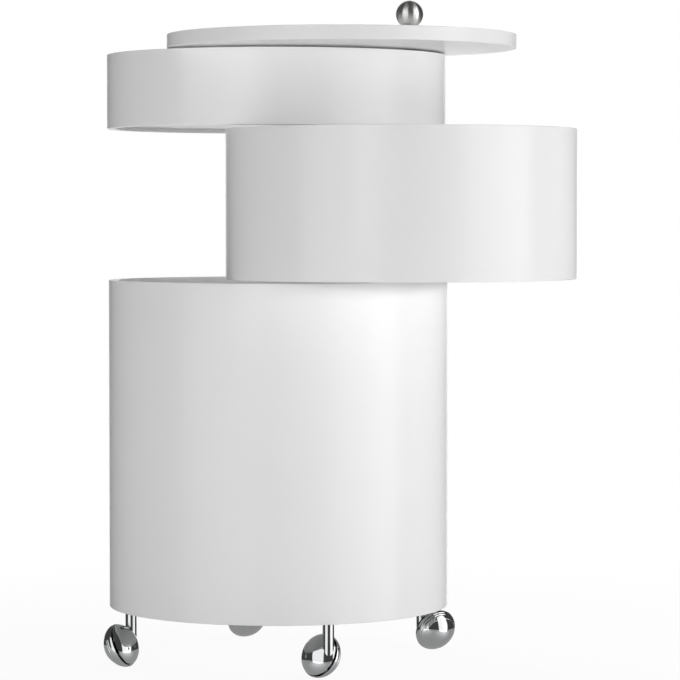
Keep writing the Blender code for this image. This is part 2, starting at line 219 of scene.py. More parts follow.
class CastorSizes(bpy.types.PropertyGroup):
    """Sizes of a ball castor, measured from the plane of its wheel's widest ring."""

    wheel_radius: length("Wheel radius", "Largest radius of the wheel", 0.0248)
    wheel_dome: length("Wheel dome", "Height of the wheel's dome", 0.0197)
    hood_radius: length("Hood radius", "Largest radius of the hood's dome", 0.0244)
    hood_dome: length("Hood dome", "Height of the hood's dome", 0.0181)
    fullness: FloatProperty(
        name="Fullness",
        description="Exponent of the domes' profile, 2 for an ellipse",
        default=1.73,
        min=1.1,
    )
    wheel_face: length("Wheel face", "Distance of the wheel's open face", 0.0015)
    hood_face: length("Hood face", "Distance of the hood's face", 0.0041)
    rim_wall: length("Rim wall", "Thickness of the wheel's rim", 0.0032)
    hollow: length("Hollow", "Depth of the wheel's hollow", 0.0085)
    hub_radius: length("Hub radius", "Radius of the wheel's hub", 0.007)
    axle_bore: length("Axle bore", "Radius of the bores for the axle", 0.0034)
    axle_in_wheel: length("Axle in wheel", "Depth of the axle's bore in the wheel", 0.0113)
    axle_in_hood: length("Axle in hood", "Depth of the axle's bore in the hood", 0.0093)
    groove_start: length("First groove", "Distance of the first groove from the widest ring", 0.003)
    groove_pitch: length("Groove pitch", "Distance between the two grooves", 0.0024)
    groove_width: length("Groove width", "Width of a groove", 0.0012)
    groove_depth: length("Groove depth", "Depth of a groove", 0.0005)
    cap_depth: length("Cap depth", "Distance of the wheel's cap from the widest ring", 0.010)
    cap_step: length("Cap step", "How far the wheel's cap is set in from the tread", 0.0003)
    barrel_radius: length("Barrel radius", "Radius of the swivel barrel", 0.0062)
    barrel_sink: length("Barrel sink", "How far the barrel starts below the wheel's centre", 0.002)
    barrel_inset: length("Barrel inset", "How far inside the hood's face the barrel is cut off", 0.001)
    stem_radius: length("Stem radius", "Radius of the stem that the barrel turns on", 0.0035)
    stem_gap: length("Stem gap", "Gap between the stem and the barrel's bore", 0.0004)
    stem_length: length("Stem length", "Length of the stem below the top of its collar", 0.018)
    stem_collar: length("Stem collar", "Thickness of the stem's collar", 0.0015)
    thread_radius: length("Thread radius", "Radius of the stem's thread", 0.0042)
    insert_radius: length("Insert radius", "Radius of the threaded insert in the floor", 0.006)
    insert_brim: length("Insert brim", "Radius of the insert's brim below the floor", 0.0078)
    insert_blind: length("Insert blind", "Thickness of the insert's closed end", 0.0015)
    edge_round: length("Edge rounding", "Rounding of the castor's edges", 0.0004)
    facets: count("Facets", "Facets round a dome", 96)
    steps: count("Steps", "Steps along a dome's profile", 28)


class FinishColours(bpy.types.PropertyGroup):
    """Colours of the finishes."""

    lacquer: colour("Lacquer", "White of the sprayed drums and lid", "EBEBEB")
    steel: colour("Steel", "Turned stainless steel of the post and ball", "E6E6E4")
    chrome: colour("Chrome", "Chrome plate of the castors", "CDCECF")
    zinc: colour("Zinc", "Zinc plate of hidden fittings", "B7BABD")
    nylon: colour("Nylon", "Natural nylon of the washers", "DDDBD4")


class StageSettings(bpy.types.PropertyGroup):
    """The studio: floor, light and camera."""

    floor: colour("Floor", "Pale studio floor", "F4F4F4")
    background: colour("Background", "Backdrop that the camera and the metal see", "FFFFFF")
    screen: colour("Screen", "Dark cloth round the studio, which gives the metal its dark bands", "262626")
    room_light: strength("Room light", "Brightness of the backdrop to all that is matt", 1.0)
    floor_size: length("Floor size", "Side of the square floor", 60)
    shadow_start: length("Shadow start", "Distance from which the floor's shadow fades", 0.3667)
    shadow_reach: length("Shadow reach", "Distance at which the floor's shadow has faded out", 1.1)
    shadow_seen: strength("Shadow seen", "How much of the floor's shadow the camera sees", 0.07)
    screen_radius: length("Screen radius", "Distance of the dark cloth from the base's axis", 4.2)
    screen_top: length("Screen top", "Height of the dark cloth's ceiling", 3.0)
    screen_facets: count("Screen facets", "Facets round the dark cloth", 72)
    # The cloth's glow is painted light: emission that stands in for the studio's light on the cloth
    screen_painted_glow: strength("Screen glow", "Brightness of the dark cloth", 0.06)
    ground_depth: length("Ground depth", "Depth below the floor of the ground that the metal mirrors", 0.65)
    # The ground's brightness is painted light: a painted glow standing in for the lit floor, with a painted
    # pool of light at the cards' feet
    painted_glow_far: strength("Dark ground", "Brightness of most of that ground", 0.4)
    painted_pool_light: strength("Light ground", "Brightness of that ground at the cards' feet", 1.0)
    painted_pool_spread: length("Ground spread", "How far that brightness spreads from the cards' feet", 2.2)
    gap_width: angle("Gap width", "Part of the round that the dark cloth leaves open", 32)
    gap_bearing: angle("Gap bearing", "Middle of the open part, to the right of straight behind", 3)
    key: power("Key", "Wide, low lamp on the right, which lights the drums", 57)
    key_card: power("Key card", "Large bright card on the right, which gloss and metal mirror", 33)
    key_strip: power("Key strip", "Narrow bright strip on that card, which gloss and metal mirror", 7)
    fill: power("Fill", "Wide, low lamp on the left, in front", 15.5)
    fill_card: power("Fill card", "Large bright card on the left, which gloss and metal mirror", 30)
    front: power("Front", "Wide, low lamp beside the camera", 26)
    left_rim: power("Left rim", "Wide, low lamp on the left, behind", 13)
    right_rim: power("Right rim", "Wide, low lamp on the right, behind", 36)
    behind: power("Behind", "Wide, low lamp behind", 26)
    top: power("Top", "Lamp overhead, which lights all that faces up", 33)
    bounce: power("Bounce", "Pale card on the floor in front, which lights all that faces down", 0.6)
    camera_distance: length("Camera distance", "Distance of the camera in front of the base's axis", 3.445)
    camera_height: length("Camera height", "Height of the camera above the floor", 0.499)
    camera_pitch: angle("Camera pitch", "How far the camera looks down", 2.341)
    camera_yaw: angle("Camera yaw", "How far the camera looks to the right", 1.147)
    camera_lens: FloatProperty(
        name="Lens", description="Focal length on a 36 mm sensor", default=162.5, unit="CAMERA"
    )


GROUPS = {
    "trolley_drums": DrumSizes,
    "trolley_post": PostSizes,
    "trolley_castors": CastorSizes,
    "trolley_finishes": FinishColours,
    "trolley_stage": StageSettings,
}


# Modelling steps that the pieces share

def start_ring(name, radius, height, axis, facets, solid):
    """Start a turned piece in edit mode, as a disc if it is solid and else as a ring of edges."""
    bpy.ops.object.select_all(action="DESELECT")
    bpy.ops.mesh.primitive_circle_add(
        vertices=facets,
        radius=radius,
        fill_type="NGON" if solid else "NOTHING",
        location=(axis.x, axis.y, height),
    )
    piece = bpy.context.object
    piece.name = name
    piece.data.name = name
    bpy.ops.object.transform_apply(location=True, rotation=True, scale=True)
    bpy.ops.object.mode_set(mode="EDIT")
    bpy.ops.mesh.select_all(action="SELECT")
    return piece


def turned(name, profile, facets, axis=Vector(), solid=True):
    """Model a turned piece: its first ring is extruded and scaled along a profile of radii and heights.

    A solid piece starts with a closed disc, and ends with one or in a pole. Any other is a ring,
    whose profile is closed onto its first point.
    """
    radius, height = profile[0]
    piece = start_ring(name, radius, height, axis, facets, solid)
    for next_radius, next_height in profile[1:] if solid else profile[1:] + profile[:1]:
        bpy.ops.mesh.extrude_region_move(TRANSFORM_OT_translate={"value": (0, 0, next_height - height)})
        scale = next_radius / radius
        bpy.ops.transform.resize(value=(scale, scale, 1), center_override=(axis.x, axis.y, next_height))
        radius, height = next_radius, next_height
    bpy.ops.mesh.select_all(action="SELECT")
    bpy.ops.mesh.remove_doubles(threshold=MERGE)
    bpy.ops.mesh.normals_make_consistent(inside=False)
    bpy.ops.object.mode_set(mode="OBJECT")
    return piece


def pick(piece):
    """Make a piece the only selected one, and the active one."""
    bpy.ops.object.select_all(action="DESELECT")
    piece.select_set(True)
    bpy.context.view_layer.objects.active = piece


def round_edges(piece, width, steps=EDGE_STEPS):
    """Round a piece's crisp edges."""
    pick(piece)
    bevel = piece.modifiers.new("rounded", "BEVEL")
    bevel.width = width
    bevel.segments = steps
    bevel.limit_method = "ANGLE"
    bevel.angle_limit = ROUND_ABOVE
    bpy.ops.object.modifier_apply(modifier=bevel.name)


def smooth(piece):
    """Shade a piece smoothly, with its flat faces flat and its crisp edges crisp."""
    pick(piece)
    bpy.ops.object.shade_smooth_by_angle(angle=SMOOTH_BELOW)
    even = piece.modifiers.new("even", "WEIGHTED_NORMAL")
    even.keep_sharp = True
    bpy.ops.object.modifier_apply(modifier=even.name)


def ring_profile(outer, inner, low, high):
    """List the profile of a plain ring, from its upper outer edge down and round."""
    return [(outer, high), (outer, low), (inner, low), (inner, high)]


def finished_ring(name, profile, facets, axis, rounding, steps=EDGE_STEPS):
    """Turn a ring, round its edges and shade it."""
    ring = turned(name, profile, facets, axis, solid=False)
    round_edges(ring, rounding, steps)
    smooth(ring)
    return ring


def combine(piece, tool, operation):
    """Cut a tool out of a piece, join it on or keep what they share, and remove the tool."""
    pick(piece)
    boolean = piece.modifiers.new(operation.lower(), "BOOLEAN")
    boolean.operation = operation
    boolean.object = tool
    bpy.ops.object.modifier_apply(modifier=boolean.name)
    bpy.data.objects.remove(tool)


def drill(piece, radius, bottom, top, spot, facets):
    """Drill a hole through a piece at a spot in plan."""
    bore = turned("bore", [(radius, bottom - OVERCUT), (radius, top + OVERCUT)], facets, spot)
    combine(piece, bore, "DIFFERENCE")


def settle(piece, matrix):
    """Put a piece in its place and keep the place in its mesh."""
    pick(piece)
    piece.matrix_world = matrix
    bpy.ops.object.transform_apply(location=True, rotation=True, scale=True)


def copy_of(model, name):
    """Copy a piece, with a mesh of its own."""
    piece = model.copy()
    piece.data = model.data.copy()
    piece.name = name
    piece.data.name = name
    bpy.context.scene.collection.objects.link(piece)
    return piece


# Finishes

# Sockets of a Mix node that mixes colours, because its other sockets have the same names
MIX_FACTOR, MIX_FIRST, MIX_SECOND, MIX_RESULT = 0, 6, 7, 2


def add_node(tree, kind, settings, links=None):
    """Add a node, set its sockets and options, and link outputs of other nodes to its inputs."""
    node = tree.nodes.new(kind)
    for key, value in settings.items():
        if isinstance(key, int) or key in node.inputs:
            node.inputs[key].default_value = value
        else:
            setattr(node, key, value)
    for key, output in (links or {}).items():
        tree.links.new(output, node.inputs[key])
    return node


def finish(name, build, *details):
    """Find a material, or make it: build adds its nodes and gives the shader that it shows."""
    material = bpy.data.materials.get(name)
    if material is None:
        material = bpy.data.materials.new(name)
        material.use_nodes = True
        tree = material.node_tree
        tree.nodes.clear()
        shader = build(tree, *details)
        add_node(tree, "ShaderNodeOutputMaterial", {}, {"Surface": shader.outputs[0]})
    return material


def sprayed_lacquer(tree):
    """Sprayed satin lacquer on bent plywood.

    To the eye it is an even white with soft, wide reflections. Spraying leaves a faint orange
    peel a few millimetres across and a slow change of sheen that only shows in the highlight.
    """
    base = bpy.context.scene.trolley_finishes.lacquer
    peel_size = 2.6 * MILLIMETRE
    peel_depth = 0.004 * MILLIMETRE
    cloud_size = 90 * MILLIMETRE
    cloud_tone = [0.975 * c for c in base]
    place = add_node(tree, "ShaderNodeTexCoord", {}).outputs["Object"]
    peel = add_node(tree, "ShaderNodeTexNoise", {"Scale": 1 / peel_size, "Detail": 1.0}, {"Vector": place})
    clouds = add_node(
        tree, "ShaderNodeTexNoise", {"Scale": 1 / cloud_size, "Detail": 3.0}, {"Vector": place}
    ).outputs["Fac"]
    bump = add_node(tree, "ShaderNodeBump", {"Distance": peel_depth}, {"Height": peel.outputs["Fac"]})
    sheen = add_node(tree, "ShaderNodeMapRange", {"To Min": 0.18, "To Max": 0.24}, {"Value": clouds})
    tone = add_node(
        tree,
        "ShaderNodeMix",
        {"data_type": "RGBA", MIX_FIRST: (*cloud_tone, 1), MIX_SECOND: (*base, 1)},
        {MIX_FACTOR: clouds},
    )
    return add_node(
        tree,
        "ShaderNodeBsdfPrincipled",
        {"Base Color": (*base, 1), "Roughness": 0.21, "Specular IOR Level": 0.4},
        {
            "Base Color": tone.outputs[MIX_RESULT],
            "Roughness": sheen.outputs["Result"],
            "Normal": bump.outputs["Normal"],
        },
    )


def lathe_lines(tree, axis, pitch):
    """Make lathe lines: noise that changes with the radius and height on an axis, but not round it."""
    place = add_node(tree, "ShaderNodeTexCoord", {}).outputs["Object"]
    centred = add_node(tree, "ShaderNodeMapping", {"Location": (-axis.x, -axis.y, 0)}, {"Vector": place})
    parts = add_node(tree, "ShaderNodeSeparateXYZ", {}, {"Vector": centred.outputs["Vector"]}).outputs
    plan = add_node(tree, "ShaderNodeCombineXYZ", {}, {"X": parts["X"], "Y": parts["Y"]})
    radius = add_node(tree, "ShaderNodeVectorMath", {"operation": "LENGTH"}, {0: plan.outputs["Vector"]})
    section = add_node(tree, "ShaderNodeCombineXYZ", {}, {"X": radius.outputs["Value"], "Z": parts["Z"]})
    return add_node(
        tree,
        "ShaderNodeTexNoise",
        {"Scale": 1 / pitch, "Detail": 2.0},
        {"Vector": section.outputs["Vector"]},
    ).outputs["Fac"]


def turned_steel(tree):
    """Stainless steel, turned and satin polished on the lathe.

    To the eye it is a bright grey metal whose reflections are drawn out across fine rings.
    The rings are drawn several times coarser than the tool's feed, so that they show.
    """
    feed = 0.45 * MILLIMETRE
    line_depth = 0.006 * MILLIMETRE
    lines = lathe_lines(tree, POST, feed)
    bump = add_node(tree, "ShaderNodeBump", {"Distance": line_depth}, {"Height": lines})
    sheen = add_node(tree, "ShaderNodeMapRange", {"To Min": 0.25, "To Max": 0.31}, {"Value": lines})
    return add_node(
        tree,
        "ShaderNodeBsdfPrincipled",
        {
            "Base Color": (*bpy.context.scene.trolley_finishes.steel, 1),
            "Roughness": 0.28,
            "Metallic": 1.0,
            "Anisotropic": 1.0,
            "Anisotropic Rotation": 0.25,
        },
        {"Roughness": sheen.outputs["Result"], "Normal": bump.outputs["Normal"]},
    )


def chrome_plate(tree):
    """Polished chrome on cast zinc.

    To the eye it is a mirror with a trace of blue grey. Handling leaves a thin film in patches
    about a centimetre across, which dulls the mirror a little.
    """
    base = bpy.context.scene.trolley_finishes.chrome
    film_size = 11 * MILLIMETRE
    ripple_size = 5 * MILLIMETRE
    ripple_depth = 0.002 * MILLIMETRE
    place = add_node(tree, "ShaderNodeTexCoord", {}).outputs["Object"]
    film = add_node(tree, "ShaderNodeTexNoise", {"Scale": 1 / film_size, "Detail": 4.0}, {"Vector": place})
    ripple = add_node(
        tree, "ShaderNodeTexNoise", {"Scale": 1 / ripple_size, "Detail": 0.0}, {"Vector": place}
    )
    bump = add_node(tree, "ShaderNodeBump", {"Distance": ripple_depth}, {"Height": ripple.outputs["Fac"]})
    sheen = add_node(
        tree, "ShaderNodeMapRange", {"To Min": 0.04, "To Max": 0.1}, {"Value": film.outputs["Fac"]}
    )
    return add_node(
        tree,
        "ShaderNodeBsdfPrincipled",
        {"Base Color": (*base, 1), "Roughness": 0.07, "Metallic": 1.0},
        {"Roughness": sheen.outputs["Result"], "Normal": bump.outputs["Normal"]},
    )


def zinc_plate(tree):
    """Bright zinc plate on steel fittings.

    To the eye it is a dull, faintly blue metal with a fine crystal mottling.
    """
    base = bpy.context.scene.trolley_finishes.zinc
    crystal_size = 1.2 * MILLIMETRE
    place = add_node(tree, "ShaderNodeTexCoord", {}).outputs["Object"]
    crystals = add_node(tree, "ShaderNodeTexVoronoi", {"Scale": 1 / crystal_size}, {"Vector": place})
    sheen = add_node(
        tree,
        "ShaderNodeMapRange",
        {"To Min": 0.32, "To Max": 0.48},
        {"Value": crystals.outputs["Distance"]},
    )
    return add_node(
        tree,
        "ShaderNodeBsdfPrincipled",
        {"Base Color": (*base, 1), "Roughness": 0.4, "Metallic": 1.0},
        {"Roughness": sheen.outputs["Result"]},
    )


def natural_nylon(tree):
    """Moulded natural nylon.

    To the eye it is a milky off-white with a fine matt skin from the mould.
    """
    base = bpy.context.scene.trolley_finishes.nylon
    skin_size = 0.5 * MILLIMETRE
    skin_depth = 0.01 * MILLIMETRE
    place = add_node(tree, "ShaderNodeTexCoord", {}).outputs["Object"]
    skin = add_node(tree, "ShaderNodeTexNoise", {"Scale": 1 / skin_size}, {"Vector": place})
    bump = add_node(tree, "ShaderNodeBump", {"Distance": skin_depth}, {"Height": skin.outputs["Fac"]})
    return add_node(
        tree,
        "ShaderNodeBsdfPrincipled",
        {"Base Color": (*base, 1), "Roughness": 0.5, "Subsurface Weight": 0.1},
        {"Normal": bump.outputs["Normal"]},
    )


# The finish of each of the record's material slots: its material's name, and what builds it
FINISHES = {
    "white_lacquer": ("sprayed_white_lacquer", sprayed_lacquer),
    "satin_steel": ("turned_stainless_steel", turned_steel),
    "chrome": ("polished_chrome_plate", chrome_plate),
    "zinc_steel": ("bright_zinc_plate", zinc_plate),
    "nylon": ("moulded_natural_nylon", natural_nylon),
}


def dress(piece, slot, body, *nodes):
    """Give a piece the finish of a slot, and set it on the frame in place of CAD nodes."""
    piece.data.materials.clear()
    piece.data.materials.append(finish(*FINISHES[slot]))
    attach(piece, body)
    if nodes:
        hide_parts(*nodes)


# Pieces

class TROLLEY_OT_drum_walls(bpy.types.Operator):
    """Model the bent walls of the three drums"""

    bl_idname = "trolley.drum_walls"
    bl_label = "Drum walls"

    def execute(self, context):
        sizes = context.scene.trolley_drums
        inside = sizes.radius - sizes.wall
        for layer, body in DRUM_BODIES.items():
            node = layer + "_shell"
            low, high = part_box(node)
            profile = ring_profile(sizes.radius, inside, low.z, high.z)
            wall = finished_ring(
                layer + "_wall", profile, sizes.facets, axis_of(node), sizes.edge_round, WALL_EDGE_STEPS
            )
            dress(wall, "white_lacquer", body, node)
        return {"FINISHED"}


class TROLLEY_OT_drum_floors(bpy.types.Operator):
    """Model the floor panels inside the drums, with the holes for post, sleeves and castors"""

    bl_idname = "trolley.drum_floors"
    bl_label = "Drum floors"

    def execute(self, context):
        sizes = context.scene.trolley_drums
        post = context.scene.trolley_post
        insert = context.scene.trolley_castors.insert_radius
        radius = sizes.radius - sizes.wall - sizes.panel_gap
        for layer, body in DRUM_BODIES.items():
            node = layer + "_floor"
            low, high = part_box(node)
            profile = [(radius, low.z), (radius, high.z)]
            panel = turned(layer + "_panel", profile, sizes.facets, axis_of(node))
            shaft = post.rod_radius if layer == "base" else post.tube_radius
            holes = [(POST, shaft)]
            if layer == "base":
                holes += [(Vector(joint(side + "_castor_swivel")["pos_m"]), insert) for side in SIDES]
            for spot, hole in holes:
                drill(panel, hole + sizes.panel_gap, low.z, high.z, spot, post.facets)
            round_edges(panel, sizes.panel_round)
            smooth(panel)
            dress(panel, "white_lacquer", body, node)
        return {"FINISHED"}


class TROLLEY_OT_lid(bpy.types.Operator):
    """Model the lid, a board with a rounded rim"""

    bl_idname = "trolley.lid"
    bl_label = "Lid"

    def execute(self, context):
        sizes = context.scene.trolley_drums
        post = context.scene.trolley_post
        low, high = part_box("lid_disc")
        profile = [(sizes.radius, low.z), (sizes.radius, high.z)]
        lid = turned("lid_board", profile, sizes.facets, axis_of("lid_disc"))
        round_edges(lid, sizes.lid_round, LID_EDGE_STEPS)
        drill(lid, post.tube_radius + sizes.panel_gap, low.z, high.z, POST, post.facets)
        smooth(lid)
        dress(lid, "white_lacquer", "lid", "lid_disc")
        return {"FINISHED"}


class TROLLEY_OT_post(bpy.types.Operator):
    """Model the fixed post: rod, tube, floor flange and the nut below"""

    bl_idname = "trolley.post"
    bl_label = "Post"

    def execute(self, context):
        sizes = context.scene.trolley_post
        low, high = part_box("post_rod")
        rod = turned("rod", [(sizes.rod_radius, low.z), (sizes.rod_radius, high.z)], sizes.facets, POST)
        round_edges(rod, sizes.edge_round)
        self.ring(context, "tube", "post_tube", sizes.rod_radius, sizes.tube_radius)
        self.ring(context, "floor_flange", "post_flange", sizes.tube_radius, sizes.flange_radius)
        smooth(rod)
        dress(rod, "satin_steel", "base", "post_rod")
        self.nut(context)
        return {"FINISHED"}

    def ring(self, context, name, node, inner, outer):
        """Model a plain turned ring in place of a CAD node."""
        sizes = context.scene.trolley_post
        gap = context.scene.trolley_drums.panel_gap
        low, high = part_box(node)
        profile = ring_profile(outer, inner + gap, low.z, high.z)
        ring = finished_ring(name, profile, sizes.facets, POST, sizes.edge_round)
        dress(ring, "satin_steel", "base", node)

    def nut(self, context):
        """Model the hexagon nut, its corners turned down at both ends."""
        sizes = context.scene.trolley_post
        gap = context.scene.trolley_drums.panel_gap
        low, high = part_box("post_nut")
        corner = max(high.x - low.x, high.y - low.y) / 2
        flat = corner * math.cos(HALF_SIDE)
        nut = turned("nut", [(corner, low.z), (corner, high.z)], HEXAGON, POST)
        blank = [
            (flat, low.z),
            (corner, low.z + sizes.nut_chamfer),
            (corner, high.z - sizes.nut_chamfer),
            (flat, high.z),
        ]
        combine(nut, turned("nut_blank", blank, sizes.facets, POST), "INTERSECT")
        drill(nut, sizes.rod_radius + gap, low.z, high.z, POST, sizes.facets)
        smooth(nut)
        dress(nut, "zinc_steel", "base", "post_nut")


class TROLLEY_OT_sleeves(bpy.types.Operator):
    """Model the sleeves that the drums turn on, and the lid's bush"""

    bl_idname = "trolley.sleeves"
    bl_label = "Sleeves"

    def execute(self, context):
        sizes = context.scene.trolley_post
        gap = context.scene.trolley_drums.panel_gap
        bore = sizes.rod_radius + sizes.running
        for layer in ("middle", "upper"):
            node = layer + "_sleeve"
            low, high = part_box(node)
            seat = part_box(layer + "_floor")[1].z + gap
            profile = [
                (sizes.tube_radius, high.z),
                (sizes.tube_radius, seat + sizes.flange_thickness),
                (sizes.flange_radius, seat + sizes.flange_thickness),
                (sizes.flange_radius, seat),
                (sizes.tube_radius, seat),
                (sizes.tube_radius, low.z),
                (bore, low.z),
                (bore, high.z),
            ]
            self.sleeve(sizes, layer + "_drum_sleeve", profile, DRUM_BODIES[layer], node)
        low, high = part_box("lid_bush")
        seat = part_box("lid_disc")[1].z + gap
        brim = width_of("lid_bush") / 2
        profile = [
            (brim, high.z),
            (brim, seat),
            (sizes.tube_radius, seat),
            (sizes.tube_radius, low.z),
            (bore, low.z),
            (bore, high.z),
        ]
        self.sleeve(sizes, "lid_sleeve", profile, "lid", "lid_bush")
        return {"FINISHED"}

    def sleeve(self, sizes, name, profile, body, node):
        """Turn a sleeve and set it on its body."""
        sleeve = finished_ring(name, profile, sizes.facets, POST, sizes.edge_round)
        dress(sleeve, "satin_steel", body, node)


class TROLLEY_OT_washers(bpy.types.Operator):
    """Model the plastic washers between the layers"""

    bl_idname = "trolley.washers"
    bl_label = "Washers"

    def execute(self, context):
        sizes = context.scene.trolley_post
        bore = sizes.rod_radius + sizes.running
        for node in ("lower_washer", "middle_washer", "upper_washer"):
            low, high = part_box(node)
            profile = ring_profile(width_of(node) / 2, bore, low.z, high.z)
            name = node.replace("washer", "slide_ring")
            washer = finished_ring(name, profile, sizes.facets, POST, sizes.washer_round)
            dress(washer, "nylon", "base", node)
        return {"FINISHED"}


class TROLLEY_OT_ball(bpy.types.Operator):
    """Model the steel ball on top of the post"""

    bl_idname = "trolley.ball"
    bl_label = "Ball"

    def execute(self, context):
        sizes = context.scene.trolley_post
        gap = context.scene.trolley_drums.panel_gap
        low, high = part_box("ball_finial")
        centre = high.z - sizes.ball_radius
        rod_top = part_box("post_rod")[1].z
        start = math.asin(sizes.neck_radius / sizes.ball_radius)
        steps = sizes.facets // 2
        bore = sizes.rod_radius + gap
        profile = [(bore, rod_top + gap), (bore, low.z), (sizes.neck_radius, low.z)]
        for i in range(steps + 1):
            turn = start + (math.pi - start) * i / steps
            ring = 0 if i == steps else sizes.ball_radius * math.sin(turn)
            profile.append((ring, centre - sizes.ball_radius * math.cos(turn)))
        ball = turned("ball", profile, sizes.facets, POST)
        smooth(ball)
        dress(ball, "satin_steel", "base", "ball_finial")
        return {"FINISHED"}


class TROLLEY_OT_flange_screws(bpy.types.Operator):
    """Model the socket screws that hold the three flanges to the floors"""

    bl_idname = "trolley.flange_screws"
    bl_label = "Flange screws"

    def execute(self, context):
        sizes = context.scene.trolley_post
        model = self.model(sizes)
        for layer, body in DRUM_BODIES.items():
            if layer == "base":
                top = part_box("post_flange")[1].z
            else:
                gap = context.scene.trolley_drums.panel_gap
                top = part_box(layer + "_floor")[1].z + gap + sizes.flange_thickness
            for i in range(sizes.screws):
                bearing = 2 * math.pi * i / sizes.screws
                spot = POST + sizes.screw_circle * Vector((math.cos(bearing), math.sin(bearing), 0))
                screw = copy_of(model, f"{layer}_flange_screw_{i + 1}")
                settle(screw, Matrix.Translation((spot.x, spot.y, top)))
                dress(screw, "zinc_steel", body)
        bpy.data.objects.remove(model)
        return {"FINISHED"}

    def model(self, sizes):
        """Model one domed screw head with a hexagon socket, on the flange's surface at the origin."""
        rise = sizes.screw_rise
        profile = [(sizes.screw_head * out, rise * up) for out, up in SCREW_RINGS]
        screw = turned("flange_screw", profile, sizes.facets // 2)
        socket = sizes.screw_socket / 2 / math.cos(HALF_SIDE)
        key = turned("socket", [(socket, 0), (socket, 2 * rise)], HEXAGON)
        combine(screw, key, "DIFFERENCE")
        smooth(screw)
        return screw


def dome(radius, height, fullness, first, last, steps):
    """List radii and distances on a dome's profile, between two distances from its widest ring."""
    points = []
    start = math.asin((first / height) ** (fullness / 2))
    end = math.asin((last / height) ** (fullness / 2))
    for i in range(steps + 1):
        depth = height * math.sin(start + (end - start) * i / steps) ** (2 / fullness)
        points.append((radius * max(0, 1 - (depth / height) ** fullness) ** (1 / fullness), depth))
    return points


def swivel_place(side):
    """Give the place of a castor's swivel axis, turned the way that the castor faces."""
    axis = joint(side + "_wheel_roll")["axis"]
    spot = Vector(joint(side + "_castor_swivel")["pos_m"])
    return Matrix.Translation(spot) @ Matrix.Rotation(math.atan2(axis[1], axis[0]), 4, "Z")


def wheel_place(side):
    """Give the place of a castor's wheel, its axle along Z."""
    roll = joint(side + "_wheel_roll")
    lean = math.acos(roll["axis"][2])
    facing = math.atan2(roll["axis"][1], roll["axis"][0])
    spot = Matrix.Translation(roll["pos_m"])
    return spot @ Matrix.Rotation(facing, 4, "Z") @ Matrix.Rotation(lean, 4, "Y")


class TROLLEY_OT_castor_wheels(bpy.types.Operator):
    """Model the domed wheels of the castors"""

    bl_idname = "trolley.castor_wheels"
    bl_label = "Castor wheels"

    def execute(self, context):
        sizes = context.scene.trolley_castors
        model = self.model(sizes)
        for side in SIDES:
            wheel = copy_of(model, side + "_ball_wheel")
            settle(wheel, wheel_place(side))
            dress(wheel, "chrome", side + "_wheel", "castor_" + side + "_wheel")
        bpy.data.objects.remove(model)
        return {"FINISHED"}

    def model(self, sizes):
        """Model one wheel: a hollow bowl with a bored hub, a grooved tread and a stepped cap."""
        face = sizes.wheel_face
        inside = sizes.wheel_radius - sizes.rim_wall
        profile = [
            (sizes.axle_bore, -sizes.axle_in_wheel),
            (sizes.axle_bore, face),
            (sizes.hub_radius, face),
            (sizes.hub_radius, -sizes.hollow),
            (inside, -sizes.hollow * HOLLOW_AT_RIM),
            (inside, face),
            (sizes.hood_radius, face),
        ]
        here = 0
        for i in range(GROOVES):
            groove = sizes.groove_start + i * sizes.groove_pitch
            profile += self.tread(sizes, here, groove, LAND_STEPS)
            middle = self.tread(sizes, groove + sizes.groove_width / 2, groove + sizes.groove_width, 1)[0]
            profile.append((middle[0] - sizes.groove_depth, middle[1]))
            here = groove + sizes.groove_width
        profile += self.tread(sizes, here, sizes.cap_depth, TREAD_STEPS)
        cap = self.tread(sizes, sizes.cap_depth, sizes.wheel_dome, sizes.steps)
        edge = cap[0][0]
        profile += [(radius * (1 - sizes.cap_step / edge), depth) for radius, depth in cap[:-1]]
        profile.append((0, -sizes.wheel_dome))
        wheel = turned("wheel_model", profile, sizes.facets)
        round_edges(wheel, sizes.edge_round / 2, WHEEL_EDGE_STEPS)
        smooth(wheel)
        return wheel

    def tread(self, sizes, first, last, steps):
        """List the wheel's outer profile between two distances from its widest ring."""
        points = dome(sizes.wheel_radius, sizes.wheel_dome, sizes.fullness, first, last, steps)
        return [(radius, -depth) for radius, depth in points]


